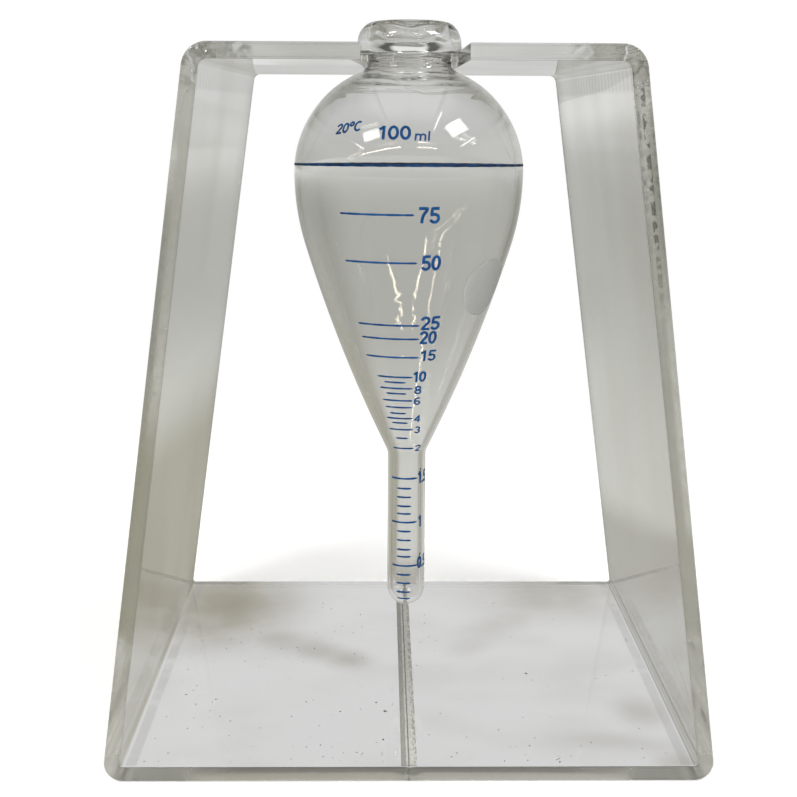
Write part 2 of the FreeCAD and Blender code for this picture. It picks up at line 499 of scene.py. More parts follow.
# strip swept front to back: each row is the loop of both sheet faces, opened by the slot's half width
def makeSheet(s, materials):
    outer, plateCount = halfStrip(s, 0, 0)
    inner, _ = halfStrip(s, s["thick"], s["grooveWide"])
    groove = np.array([[0, s["thick"] - s["grooveDeep"]]])
    loop = np.vstack([outer, groove, inner[::-1]])
    radius, deep = s["slot"] / 2, s["depth"] / 2
    curve = radius * np.sin(np.linspace(0, np.pi / 2, 20))
    rows = np.concatenate([np.linspace(-deep, 0, 26)[:-1], curve, np.linspace(radius, deep, 22)[1:]])
    opening = np.where(rows < 0, radius, np.sqrt(np.clip(radius ** 2 - rows ** 2, 0, None)))
    bendStart = outer[plateCount, 0]

    x = np.repeat(loop[None, :, 0], len(rows), axis=0)
    onPlate = np.zeros(len(loop), bool)
    onPlate[:plateCount] = True
    onPlate[-plateCount:] = True
    share = np.where(onPlate, 1 - loop[:, 0] / bendStart, 0)
    x = x + share[None] * opening[:, None]
    y = np.repeat(rows[:, None], len(loop), axis=1)
    z = np.repeat(loop[None, :, 1], len(rows), axis=0)
    points = np.stack([x, y, z], axis=-1)
    grid = np.arange(points[..., 0].size).reshape(points.shape[:2])
    count = len(outer)
    faces = gridFaces(grid[:, :count]) + gridFaces(grid[:, count:])
    slotRows = np.flatnonzero(opening[:-1] > 0)
    faces += [[int(grid[i, -1]), int(grid[i, 0]), int(grid[i + 1, 0]), int(grid[i + 1, -1])] for i in slotRows]

    # front and back faces, a strip of quads from one sheet face to the other
    for row, forward in ((grid[0], True), (grid[-1], False)):
        out, back = row[:count], row[count + 1:][::-1]
        strip = [[int(out[i]), int(back[i]), int(back[i + 1]), int(out[i + 1])] for i in range(count - 1)]
        strip.append([int(out[-1]), int(back[-1]), int(row[count])])
        faces += strip if forward else [f[::-1] for f in strip]

    mirrored = points.reshape(-1, 3) * (-1, 1, 1)
    offset = grid.size
    faces += [[offset + v for v in f[::-1]] for f in faces]
    allPoints = np.vstack([points.reshape(-1, 3), mirrored]) * mm
    sheet = makePiece("bent_sheet", allPoints, faces, materials[0])
    across = np.zeros(loop.shape[0])
    across[count:] = 1
    stored = sheet.data.attributes.new("across", "FLOAT", "POINT")
    stored.data.foreach_set("value", np.tile(across, len(rows) * 2).astype(np.float32))

    shell = bmesh.new()
    shell.from_mesh(sheet.data)
    bmesh.ops.remove_doubles(shell, verts=shell.verts, dist=1e-6)
    bmesh.ops.recalc_face_normals(shell, faces=shell.faces)
    shell.to_mesh(sheet.data)
    shell.free()
    sheet.data.set_sharp_from_angle(angle=math.radians(s["sharpAngle"]))

    # finish of each face: 1 on the base's flat faces, 2 on the sawn ends, 3 on those at the top bends, 0 elsewhere
    for extra in materials[1:]:
        sheet.data.materials.append(extra)
    faceCount = len(sheet.data.polygons)
    facing, middle = np.zeros(faceCount * 3), np.zeros(faceCount * 3)
    sheet.data.polygons.foreach_get("normal", facing)
    sheet.data.polygons.foreach_get("center", middle)
    facing, middle = facing.reshape(-1, 3), middle.reshape(-1, 3)
    finish = np.where(middle[:, 2] < s["thick"] * mm * 1.02, 1, 0)
    sawn = np.abs(facing[:, 1]) > 0.9
    out, up = s["buckledFrom"]
    bent = (np.abs(middle[:, 0]) > out * mm) & (middle[:, 2] > up * mm)
    finish[sawn] = 2
    finish[sawn & bent] = 3
    sheet.data.polygons.foreach_set("material_index", finish.astype(np.int32))
    edges = sheet.modifiers.new("broken_edges", "BEVEL")
    edges.width = s["edgeBreak"] * mm
    edges.segments = 2
    edges.limit_method = "ANGLE"
    edges.angle_limit = math.radians(s["sharpAngle"])
    edges.harden_normals = True
    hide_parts("acrylic_stand")


# cement squeezed into the groove and smoothed over its lips, in mm
cementBead = {
    # ridges across the bead: place, height over the sheet's face
    "crown": [(-1.95, 0.02), (-1.75, 0.09), (-1.3, 0.07), (-0.8, 0.02), (-0.5, 0.08), (-0.15, -0.08), (0.2, 0.08),
              (0.6, 0.10), (0.95, 0.03), (1.4, 0.08), (1.75, 0.02)],
    "skin": 0.012,
}


# bead swept along the joint: its crown wanders a little, its underside lies in the groove
def makeCementBead(s, material):
    sheet = sheetShape
    crown = np.array(s["crown"])
    x = np.interp(np.linspace(0, 1, 31), np.linspace(0, 1, len(crown)), crown[:, 0])
    top = np.interp(x, crown[:, 0], crown[:, 1])
    under = -sheet["grooveDeep"] * np.clip(1 - np.abs(x) / sheet["grooveWide"], 0, None) + s["skin"]
    deep = sheet["depth"] / 2 - sheet["edgeBreak"]
    y = np.linspace(-deep, deep, 121)
    wander = 0.10 * np.sin(y * 0.21 + 1) + 0.05 * np.sin(y * 0.83)
    swell = 1 + 0.15 * np.sin(y * 0.37 + 2) + 0.08 * np.sin(y * 1.3)
    across = x[None] + (wander[:, None] * (1 - np.abs(x[None]) / 2.0))
    height = np.maximum(top[None] * swell[:, None], under[None] + 0.01)
    rows = np.repeat(y[:, None], len(x), axis=1)
    upper = np.stack([across, rows, sheet["thick"] + height], axis=-1)
    lower = np.stack([across, rows, sheet["thick"] + np.repeat(under[None], len(y), axis=0)], axis=-1)
    points = np.concatenate([upper, lower[:, ::-1]], axis=1)
    grid = np.arange(points[..., 0].size).reshape(points.shape[:2])
    faces = gridFaces(grid, wrap=True)
    faces += [grid[0].tolist(), grid[-1][::-1].tolist()]
    bead = makePiece("cement_bead", points.reshape(-1, 3) * mm, faces, material)
    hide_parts("seam_cement")


# grit on the base: how many, sizes in mm and the few large ones' places
gritShape = {
    "seed": 7,
    "count": 170,
    "small": (0.10, 0.24),
    # strewn along each axis: from where, how far, and the power that crowds them towards one end
    "across": (66, -128, 0.75),
    "along": (-53, 100, 1.6),
    "clearOfJoint": 2.5,
    "large": [(-7.9, -24.8, 0.3), (-5.6, -29.5, 0.5), (-6.1, -43, 0.3), (-16.9, -29.4, 0.25), (-57, -20.5, 0.28),
              (-49, -23, 0.25), (32.4, -9, 0.35), (35, -53.2, 0.3), (-14, 3, 0.2), (-44, -34, 0.25)],
}


# small uneven flakes, each a squashed six-cornered stone, strewn more to the left and the front
def makeGrit(s, material):
    draw = np.random.default_rng(s["seed"])
    count = s["count"]
    strewn = [first + far * draw.random(count) ** power for first, far, power in (s["across"], s["along"])]
    sizes = draw.uniform(*s["small"], count)
    large = np.array(s["large"])
    centres = np.vstack([np.column_stack(strewn), large[:, :2]])
    sizes = np.concatenate([sizes, large[:, 2]])
    keep = np.abs(centres[:, 0]) > s["clearOfJoint"]
    centres, sizes = centres[keep], sizes[keep]
    corners = np.array([(1, 0, 0), (-1, 0, 0), (0, 1, 0), (0, -1, 0), (0, 0, 1), (0, 0, -1)], float)
    faces = np.array([(0, 2, 4), (2, 1, 4), (1, 3, 4), (3, 0, 4), (2, 0, 5), (1, 2, 5), (3, 1, 5), (0, 3, 5)])
    turn = draw.uniform(0, np.pi, len(sizes))
    long = draw.uniform(0.5, 1.8, len(sizes))
    shapes = []
    for centre, size, angle, stretch in zip(centres, sizes, turn, long):
        stone = corners * (size * stretch, size / stretch, size * 0.4)
        stone *= draw.uniform(0.75, 1.25, (6, 1))
        flat = stone[:, :2] @ np.array([[math.cos(angle), math.sin(angle)], [-math.sin(angle), math.cos(angle)]])
        height = sheetShape["thick"] + size * 0.5 + stone[:, 2]
        shapes.append((np.column_stack([flat + centre, height]), faces.tolist()))
    makePrint("base_grit", shapes, material)


# places a point on the glass: to the right by u, up the slope by v, out by lift, all in mm
def onGlass(angle, height, u, v, lift):
    middle = np.interp(height, tubeOuter[:, 1], outerSlope)
    along = middle + v
    r = np.interp(along, outerSlope, tubeOuter[:, 0])
    z = np.interp(along, outerSlope, tubeOuter[:, 1])
    step = 0.4
    dr = np.interp(along + step, outerSlope, tubeOuter[:, 0]) - np.interp(along - step, outerSlope, tubeOuter[:, 0])
    dz = np.interp(along + step, outerSlope, tubeOuter[:, 1]) - np.interp(along - step, outerSlope, tubeOuter[:, 1])
    size = np.hypot(dr, dz)
    turn = math.radians(angle) + u / np.interp(middle, outerSlope, tubeOuter[:, 0])
    r = r + lift * dz / size
    z = z - lift * dr / size
    return np.stack([r * np.sin(turn), -r * np.cos(turn), z], axis=-1)


# printed scale: heights on the glass in mm, angles in degrees from the front, widths in mm
scaleMarks = {
    "inkWidth": 0.5,
    "inkThick": 0.05,
    "tubeLean": 2.0,  # degrees the ring is out of level
    "ring": 138.75,
    # line: height, left angle, right angle
    "lines": [
        (128.3, -36, 1.5), (116.7, -37, 3.5), (100.7, -37.5, 6.8), (97.1, -37.2, 7.1), (92.1, -37.6, 8.2),
        (86.6, -30.8, 4.0), (85.1, -24.7, -2.6), (83.4, -30.8, 4.5), (81.9, -24.5, -2.0), (79.9, -31, 5.1),
        (77.9, -29.3, 5.3), (76.15, -24.7, -2.4), (74.65, -31.9, 7.2), (73.3, -24.7, 0.0), (71.3, -32.4, 9.4),
        (68.65, -23.3, 1.0), (65.5, -36.2, 16.1),
    ],
    "stemLong": [(56.9, -51.7, 34.2), (44.8, -50.6, 33.4), (32.6, -47.7, 37.2)],
    "stemShort": [54.2, 51.8, 49.3, 47.2, 42.3, 39.8, 37.2, 35.2, 30.1, 27.7, 25.2, 23.2],
    "stemAngles": (-31, 14),
    # text: middle angle, middle height, width, height
    "numbers": [
        ("75", 8.6, 128.25, 4.8, 3.95), ("50", 11.0, 116.75, 4.35, 4.0), ("25", 14.3, 101.3, 4.55, 3.85),
        ("20", 13.9, 97.5, 4.0, 3.7), ("15", 15.8, 92.6, 3.8, 3.2), ("10", 10.4, 86.8, 3.1, 3.2),
        ("8", 10.3, 83.0, 1.6, 2.6), ("6", 10.8, 79.8, 1.5, 2.4), ("4", 13.8, 74.6, 1.5, 2.3),
        ("3", 17.2, 71.2, 1.35, 2.3), ("2", 27.0, 65.5, 1.35, 2.1), ("1.5", 57, 57.0, 3.6, 3.4),
        ("1", 45, 44.8, 1.0, 3.2), ("0.5", 58, 33.2, 3.6, 3.4),
    ],
    "volume": ("100", -8.5, 147.2, 7.4, 3.45),
    "unit": ("ml", 5.4, 146.5, 3.5, 2.35),
    "temperature": ("20°C", -33.4, 148.25, 6.9, 2.6),
}


# thin printed band: a slab four points round, carried along the glass at one height
def inkBand(height, a0, a1, width, thick, lean=0.0):
    radius = float(np.interp(height, tubeOuter[:, 1], tubeOuter[:, 0]))
    closed = a1 - a0 >= 360
    count = max(6, math.ceil(math.radians(a1 - a0) * radius / 0.5))
    a = np.linspace(a0, a1, count + (0 if closed else 1), endpoint=not closed)
    u = np.radians(a - a0) * radius
    swell = 1 + 0.10 * np.sin(u * 1.3 + height) + 0.05 * np.sin(u * 3.1 + 2 * height)
    ends = 1.0 if closed else np.clip(np.minimum(u, u[-1] - u) / (width * 0.5) + 0.35, 0, 1)
    rise = math.tan(math.radians(lean)) * radius * np.cos(np.radians(a))
    corners = [(-0.5, 0.008), (0.5, 0.008), (0.5, thick), (-0.5, thick)]
    rows = [onGlass(a0, height, u, rise + v * width * swell * ends, lift) for v, lift in corners]
    points = np.stack(rows, axis=1)
    grid = np.arange(points[..., 0].size).reshape(points.shape[:2])
    if closed:
        grid = np.vstack([grid, grid[:1]])
    faces = gridFaces(grid, wrap=True)
    if not closed:
        faces += [grid[0].tolist(), grid[-1][::-1].tolist()]
    return points.reshape(-1, 3), faces


# points of an oval bow: centre, half sizes, and start and end angle in degrees
def bow(cx, cy, rx, ry, a0, a1):
    a = np.radians(np.linspace(a0, a1, max(4, math.ceil(abs(a1 - a0) / 18)) + 1))
    return np.column_stack([cx + rx * np.cos(a), cy + ry * np.sin(a)])


def run(*corners):
    return np.array(corners, float)


# plain bold figures one unit high: width, and the middle lines of their strokes
figures = {
    "0": (0.58, [bow(0.29, 0.5, 0.20, 0.415, 0, 360)]),
    "1": (0.50, [run((0.31, 0), (0.31, 0.98)), np.vstack([run((0.07, 0.73)), bow(0.07, 0.97, 0.2, 0.23, -80, -5)])]),
    "2": (0.58, [np.vstack([bow(0.29, 0.69, 0.195, 0.225, 175, -35), run((0.11, 0.085), (0.55, 0.085))])]),
    "3": (0.58, [bow(0.27, 0.71, 0.175, 0.205, 165, -90), bow(0.27, 0.295, 0.205, 0.21, 90, -165)]),
    "4": (0.60, [run((0.42, 0), (0.42, 0.93), (0.09, 0.30), (0.57, 0.30))]),
    "5": (0.58, [
        np.vstack([run((0.52, 0.915), (0.16, 0.915), (0.125, 0.50)), bow(0.28, 0.325, 0.21, 0.24, 118, -160)]),
    ]),
    "6": (0.58, [
        bow(0.29, 0.30, 0.195, 0.215, 0, 360),
        np.vstack([bow(0.32, 0.56, 0.225, 0.355, 52, 178), run((0.095, 0.32))]),
    ]),
    "7": (0.56, [np.vstack([run((0.05, 0.915), (0.49, 0.915)), bow(0.62, 0.05, 0.42, 0.80, 118, 182)])]),
    "8": (0.58, [bow(0.29, 0.725, 0.165, 0.19, 0, 360), bow(0.29, 0.29, 0.20, 0.205, 0, 360)]),
    ".": (0.26, [run((0.13, 0.0), (0.13, 0.17))]),
    "°": (0.44, [bow(0.21, 0.80, 0.15, 0.16, 0, 360)]),
    "C": (0.72, [bow(0.36, 0.5, 0.27, 0.415, 48, 312)]),
    "m": (0.98, [
        run((0.12, 0), (0.12, 0.72)),
        np.vstack([bow(0.30, 0.46, 0.18, 0.19, 180, 0), run((0.48, 0))]),
        np.vstack([bow(0.66, 0.46, 0.18, 0.19, 180, 0), run((0.84, 0))]),
    ]),
    "l": (0.26, [run((0.13, 0), (0.13, 1.0))]),
}


# a stroke's middle line, divided into short steps
def divide(line, gap):
    parts = [line[:1]]
    for a, b in zip(line[:-1], line[1:]):
        parts.append(straight(a, b, gap))
    return np.vstack(parts)


# each stroke is a thin slab laid along its middle line: points plus and minus half the pen's width along the normal
def inkText(text, angle, height, wide, tall, thick, pen=0.185, slant=0.0, rise=0.0):
    widths = [figures[letter][0] for letter in text]
    starts = np.concatenate([[0], np.cumsum(widths)])
    stretch = wide / (starts[-1] - 0.12) / tall
    tip = math.radians(rise)
    shapes = []
    for letter, start in zip(text, starts):
        for line in figures[letter][1]:
            closed = np.allclose(line[0], line[-1])
            line = divide(line * (stretch, 1) + (start * stretch, 0), 0.12)
            line = line[:-1] if closed else line
            if closed:
                along = np.roll(line, -1, axis=0) - np.roll(line, 1, axis=0)
            else:
                along = np.gradient(line, axis=0)
            along /= np.maximum(np.linalg.norm(along, axis=1, keepdims=True), 1e-9)
            normal = np.column_stack([-along[:, 1], along[:, 0]])
            edges = [line + normal * pen * side / 2 for side in (-1, 1, 1, -1)]
            rows = []
            for edge, lift in zip(edges, (0.008, 0.008, thick, thick)):
                x = (edge[:, 0] - starts[-1] * stretch / 2 + (edge[:, 1] - 0.5) * slant) * tall
                y = (edge[:, 1] - 0.5) * tall
                u = x * math.cos(tip) - y * math.sin(tip)
                v = x * math.sin(tip) + y * math.cos(tip)
                rows.append(onGlass(angle, height, u, v, lift))
            points = np.stack(rows, axis=1)
            grid = np.arange(points[..., 0].size).reshape(points.shape[:2])
            ring = np.vstack([grid, grid[:1]]) if closed else grid
            faces = [f[::-1] for f in gridFaces(ring, wrap=True)]
            if not closed:
                faces += [grid[0][::-1].tolist(), grid[-1].tolist()]
            shapes.append((points.reshape(-1, 3), faces))
    return shapes


# joins printed shapes into one piece
def makePrint(name, shapes, material):
    points, faces, start = [], [], 0
    for shapePoints, shapeFaces in shapes:
        points.append(shapePoints)
        faces += [[start + int(v) for v in f] for f in shapeFaces]
        start += len(shapePoints)
    return makePiece(name, np.vstack(points) * mm, faces, material)


def makeScale(marks, ink, ringInk):
    width, thick = marks["inkWidth"], marks["inkThick"]
    ring = [inkBand(marks["ring"], 0, 360, width * 1.25, thick, marks["tubeLean"])]
    makePrint("volume_ring", ring, ringInk)
    bands = [inkBand(z, a0, a1, width, thick) for z, a0, a1 in marks["lines"] + marks["stemLong"]]
    bands += [inkBand(z, *marks["stemAngles"], width, thick) for z in marks["stemShort"]]
    makePrint("scale_lines", bands, ink)
    numbers = [shape for number in marks["numbers"] for shape in inkText(*number, thick)]
    makePrint("scale_numbers", numbers, ink)
    volume = inkText(*marks["volume"], thick, pen=0.205) + inkText(*marks["unit"], thick, pen=0.185, slant=0.12)
    makePrint("volume_mark", volume, ink)
    degrees = inkText(*marks["temperature"], thick, pen=0.2, slant=0.18, rise=9)
    makePrint("temperature_mark", degrees, ink)


# matt oval for pencil notes: middle angle and height, half width and half height in mm, tilt in degrees
patchShape = {"angle": 54, "height": 109.3, "wide": 8.0, "tall": 7.6, "tilt": -12, "thick": 0.06}


# disc grid of rings and spokes, stretched to an oval and laid on the glass
def makePatch(s, material):
    spokes, rings = 72, 14
    turn = np.linspace(0, 2 * np.pi, spokes, endpoint=False)
    reach = np.concatenate([np.linspace(0.05, 1, rings), [1.0]])
    tip = math.radians(s["tilt"])
    u0 = s["wide"] * reach[:, None] * np.cos(turn)
    v0 = s["tall"] * reach[:, None] * np.sin(turn)
    u = u0 * math.cos(tip) - v0 * math.sin(tip)
    v = u0 * math.sin(tip) + v0 * math.cos(tip)
    lift = np.full(u.shape, s["thick"])
    lift[-1] = 0.006
    points = onGlass(s["angle"], s["height"], u, v, lift).reshape(-1, 3)
    grid = np.arange(len(points)).reshape(u.shape)
    faces = [f[::-1] for f in gridFaces(grid, wrap=True)]
    faces.append(grid[0].tolist())
    under = onGlass(s["angle"], s["height"], u[:-1], v[:-1], 0.006).reshape(-1, 3)
    low = np.arange(len(under)).reshape(rings, spokes) + len(points)
    faces += gridFaces(np.vstack([low, grid[-1:]]), wrap=True)
    faces.append(low[0][::-1].tolist())
    makePrint("marking_patch", [(np.vstack([points, under]), faces)], material)


# a material with its place on the piece, whole and as three coordinates
def startMaterial(name):
    material, tree = newMaterial(name)
    place = addNode(tree, "ShaderNodeTexCoord").outputs["Object"]
    side = addNode(tree, "ShaderNodeSeparateXYZ", links={"Vector": place}).outputs
    return material, tree, place, side


# one shader for the surface, and what fills the piece behind it
def finishMaterial(tree, values, links, inside=None):
    shown = {"Surface": addNode(tree, "ShaderNodeBsdfPrincipled", values, links).outputs[0]}
    if inside is not None:
        shown["Volume"] = inside.outputs[0]
    addNode(tree, "ShaderNodeOutputMaterial", links=shown)


# borosilicate glass, flame blown: clear and smooth, with faint rings drawn round it
def makeGlass():
    material, tree, place, side = startMaterial("blown_borosilicate_glass")
    drawn = addNode(tree, "ShaderNodeMapping", {"Scale": (0.3, 0.3, 1.5)}, {"Vector": place}).outputs[0]
    wave = addNode(tree, "ShaderNodeTexNoise", {"Scale": 130.0, "Detail": 2.0, "Roughness": 0.55},
                   {"Vector": drawn}).outputs[0]
    cone = maths(tree, "ADD", maths(tree, "MULTIPLY", ramp(tree, side["Z"], 108 * mm, 94 * mm), 0.20), 0.005)
    bump = addNode(tree, "ShaderNodeBump", {"Strength": 0.5, "Distance": 0.0004},
                   {"Height": maths(tree, "MULTIPLY", wave, cone)})
    inside = addNode(tree, "ShaderNodeVolumeAbsorption", {"Color": hexColour("#BDBFBB"), "Density": 3.5})
    finishMaterial(tree, {
        "Base Color": hexColour("#F6F6F5"), "Roughness": 0.0, "IOR": 1.474, "Transmission Weight": 1.0},
        {"Normal": bump.outputs[0]}, inside)
    return material


# dirt, marks and painted shadows on the sheet: sizes and places in mm
sheetWearAndShade = {
    # painted soft shadows of the tube, and dirty patches: centre, half sizes and turn in degrees of an oval on the
    # base, strength
    "shadowsAndStains": [
        ((-16, 1), (9, 6.5), -30, 0.50), ((-25, 7), (14, 7), -32, 0.40), ((-36, 14), (17, 9), -30, 0.40),
        ((-56, 38), (28, 34), 0, 0.85), ((19, 10), (10, 6), 45, 0.22), ((31, 27), (19, 9), 45, 0.30),
        ((48, 48), (32, 24), 8, 0.48), ((59, -28), (8, 9), 0, 0.36), ((50, -43), (18, 5), -12, 0.22),
        ((64, -52), (8, 5), 0, 0.40),
    ],
    "shadowAndStainTint": "#A39B82",
    "combPitch": 4.2,
    "combSide": (156.6, 161.4),
    "combTop": (39.5, 45.5),
    # painted shade line along the front arris, front and back limits in mm
    "frontArrisShade": (-54.9, -53.4),
    "chipped": (119.0, 160.0),
    # scrape marks along the sawn edges, as shares of the thickness, and strength
    "sawLines": [(0.10, 0.17, 0.30), (0.62, 0.67, 0.15), (0.86, 0.93, 0.38)],
    "scratch": ((64.0, -35.2, 24.8), (64.9, -50.6, 19.1)),
}


def noise(tree, place, scale, detail=2.0, stretch=None):
    if stretch:
        place = addNode(tree, "ShaderNodeMapping", {"Scale": stretch}, {"Vector": place}).outputs[0]
    return addNode(tree, "ShaderNodeTexNoise", {"Scale": scale, "Detail": detail}, {"Vector": place}).outputs[0]


# 1 between two limits in mm with soft ends, 0 outside
def band(tree, value, low, high, soft):
    inside = ramp(tree, value, (low - soft) * mm, (low + soft) * mm)
    beyond = ramp(tree, value, (high - soft) * mm, (high + soft) * mm)
    return maths(tree, "SUBTRACT", inside, beyond)


def times(tree, *parts):
    whole = parts[0]
    for part in parts[1:]:
        whole = maths(tree, "MULTIPLY", whole, part)
    return whole


# every finish of the sheet is the same clear acrylic; light enters by one finish and leaves by another, so the
# slight grey of the sheet is in the surface tones and there is no volume
def finishSheet(tree, tone, rough, relief=None, film=None):
    links = {"Base Color": tone, "Roughness": rough}
    values = {"IOR": 1.49, "Transmission Weight": 1.0}
    if film is not None:
        links["Sheen Weight"] = film  # dust film, seen on the slant
        values.update({"Sheen Roughness": 0.4, "Sheen Tint": hexColour("#B9B4A6")})
    if relief is not None:
        bump = addNode(tree, "ShaderNodeBump", {"Strength": 0.5, "Distance": 0.0003}, {"Height": relief})
        links["Normal"] = bump.outputs[0]
    finishMaterial(tree, values, links)


# glossy sheet of the top and sides: wiped smears, ribs beside the hot bends, a brownish painted shade line along the
# front edge
def makeSheetSides(wearAndShade):
    material, tree, place, side = startMaterial("glossy_sheet_acrylic")
    smear = ramp(tree, noise(tree, place, 34.0, 1.0, (2.2, 1.0, 0.45)), 0.40, 0.68)
    streak = ramp(tree, noise(tree, place, 150.0, 1.0, (1.0, 0.12, 1.0)), 0.50, 0.75)
    low = ramp(tree, side["Z"], 0.036, 0.006)
    # browner low down at the back of the left side
    lowLeftBack = times(tree, low, ramp(tree, side["Y"], -0.045, 0.03), ramp(tree, side["X"], 0.03, -0.03))
    tone = blend(tree, times(tree, smear, 0.55), "#F7F7F5", "#D9D8D0")
    tone = blend(tree, times(tree, streak, maths(tree, "MULTIPLY_ADD", low, 0.4, 0.1)), tone, "#C2C0B5")
    tone = blend(tree, times(tree, lowLeftBack, smear, 0.8), tone, "#A8A188")
    rib = maths(tree, "SINE", maths(tree, "MULTIPLY", side["Y"], 2 * math.pi / (wearAndShade["combPitch"] * mm)))
    rib = ramp(tree, rib, 0.1, 0.8)
    onSide = band(tree, side["Z"], *wearAndShade["combSide"], 0.4)
    onTop = band(tree, maths(tree, "ABSOLUTE", side["X"]), *wearAndShade["combTop"], 0.4)
    upper = ramp(tree, side["Z"], 161 * mm, 162 * mm)
    ribs = maths(tree, "MAXIMUM", onSide, times(tree, onTop, upper))
    tone = blend(tree, times(tree, ribs, 0.2), tone, "#A9A59A")
    tone = blend(tree, times(tree, ribs, rib, 0.4), tone, "#8E8A80")
    fine = noise(tree, place, 900.0, 0.0)
    # painted shade: a darker line along the front arris of the sheet, where the dark chips also lie
    arrisShadeAndChips = band(tree, side["Y"], *wearAndShade["frontArrisShade"], 0.25)
    tone = blend(tree, times(tree, arrisShadeAndChips, 0.5), tone, "#A69E93")
    chipped = times(tree, arrisShadeAndChips, band(tree, side["Z"], *wearAndShade["chipped"], 3), ramp(tree, side["X"], 0.0, 0.01),
                    ramp(tree, fine, 0.46, 0.60))
    tone = blend(tree, times(tree, chipped, 0.75), tone, "#6B665F")

    # the right side is a little darker below the bulb's widest
    lowerRightDarker = times(tree, ramp(tree, side["Z"], 0.14, 0.10), ramp(tree, side["X"], 0.02, 0.04))
    tone = blend(tree, times(tree, lowerRightDarker, 0.5), tone, "#D4D3CD")

    # one ragged scratch low on the right side
    start, end = (Vector(p) * mm for p in wearAndShade["scratch"])
    along = (end - start).normalized()
    local = addNode(tree, "ShaderNodeVectorMath", {1: start}, {0: place}, operation="SUBTRACT").outputs[0]
    travel = addNode(tree, "ShaderNodeVectorMath", {1: along}, {0: local}, operation="DOT_PRODUCT").outputs["Value"]
    off = addNode(tree, "ShaderNodeVectorMath", {1: along}, {0: local}, operation="CROSS_PRODUCT").outputs[0]
    off = addNode(tree, "ShaderNodeVectorMath", links={0: off}, operation="LENGTH").outputs["Value"]
    off = maths(tree, "ADD", off, times(tree, maths(tree, "SUBTRACT", fine, 0.5), 2.2 * mm))
    line = times(tree, ramp(tree, off, 0.55 * mm, 0.25 * mm), band(tree, travel, 0, (end - start).length / mm, 0.6))
    tone = blend(tree, times(tree, line, 0.55), tone, "#8F897A")
    rough = maths(tree, "ADD", 0.012, times(tree, smear, 0.02))
    film = times(tree, maths(tree, "ADD", smear, streak), maths(tree, "MULTIPLY_ADD", low, 0.10, 0.09))
    finishSheet(tree, tone, rough, film=film)
    return material


# glossy sheet of the base, with painted soft shadows of the tube and clouded dirty patches
def makeSheetBase(wearAndShade):
    material, tree, place, side = startMaterial("shadowed_stained_sheet_acrylic")
    top = ramp(tree, side["Z"], 2.6 * mm, 3.3 * mm)
    patch = noise(tree, place, 85.0, 2.0)
    patchy = ramp(tree, patch, -0.4, 0.7)
    smear = ramp(tree, noise(tree, place, 30.0, 2.0, (1.0, 2.0, 1.0)), 0.40, 0.75)
    tone = blend(tree, times(tree, smear, 0.35), "#FAFAFA", "#DEDEDA")
    whole = None
    # the ovals are painted soft shadows of the tube, and dirty patches, all in one brownish tint
    for (cx, cy), (wide, deep), turn, strength in wearAndShade["shadowsAndStains"]:
        local = addNode(tree, "ShaderNodeMapping", {
            "Location": (cx * mm, cy * mm, 0), "Rotation": (0, 0, math.radians(turn)),
            "Scale": (wide * mm, deep * mm, 1000)}, {"Vector": place}, vector_type="TEXTURE").outputs[0]
        away = addNode(tree, "ShaderNodeVectorMath", links={0: local}, operation="LENGTH").outputs["Value"]
        shadowAndStain = times(tree, ramp(tree, away, 1.3, 0.1), strength)
        whole = shadowAndStain if whole is None else maths(tree, "MAXIMUM", whole, shadowAndStain)
    tone = blend(tree, times(tree, whole, patchy), tone, wearAndShade["shadowAndStainTint"])

    # darker band beside the folds, and on the right painted shade in the inner corner of the bend
    across = maths(tree, "ABSOLUTE", side["X"])
    front = ramp(tree, side["Y"], -54.6 * mm, -54.0 * mm)
    besideFolds = times(tree, band(tree, across, 63.1, 65.6, 0.35), ramp(tree, patch, 0.25, 0.5), top, front)
    tone = blend(tree, times(tree, besideFolds, 0.5), tone, "#A9A8A2")
    cornerShade = times(tree, band(tree, side["X"], 65.9, 66.4, 0.15), top, front)
    tone = blend(tree, times(tree, cornerShade, 0.7), tone, "#74736E")
    finishSheet(tree, tone, maths(tree, "ADD", 0.012, times(tree, whole, 0.06)))
    return material
